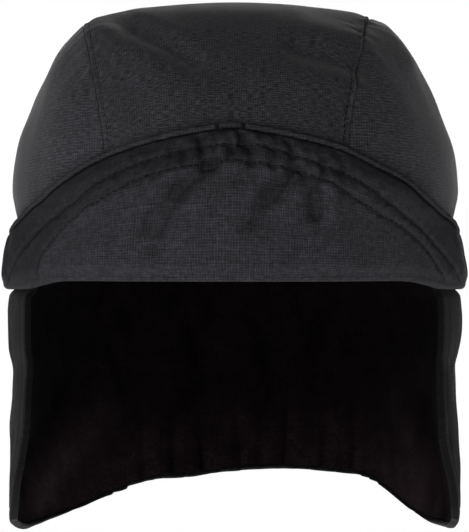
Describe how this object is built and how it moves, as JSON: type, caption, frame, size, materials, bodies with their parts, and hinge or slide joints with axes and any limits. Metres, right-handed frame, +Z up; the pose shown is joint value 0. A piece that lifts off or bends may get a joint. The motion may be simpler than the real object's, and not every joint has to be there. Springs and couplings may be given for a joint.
{
  "type": "ear flap cap",
  "caption": "Waterproof winter cap with a panelled crown, a soft peak turned up, and one fleece-lined flap round ears and nape.",
  "frame": {"origin": "middle of the head opening, in the plane of the crown's rim", "axes": "+Z up through the crown's top, -Y towards the front and the peak, +X to the right seen from the front"},
  "size_m": [0.1894, 0.2207, 0.2172],
  "materials": {
    "crown_cloth": "fine plain weave, matt",
    "side_cloth": "fine plain weave, matt",
    "peak_cloth": "fine ripstop weave, matt",
    "flap_cloth": "fine plain weave, matt",
    "fleece": "short black fleece"
  },
  "bodies": {
    "root": {"crown_centre_panel": "crown_cloth", "crown_side_left": "side_cloth", "crown_side_right": "side_cloth", "peak_under_cloth": "peak_cloth", "peak_top_cloth": "peak_cloth", "flap_shell": "flap_cloth", "flap_lining": "fleece"}
  },
  "joints": []
}
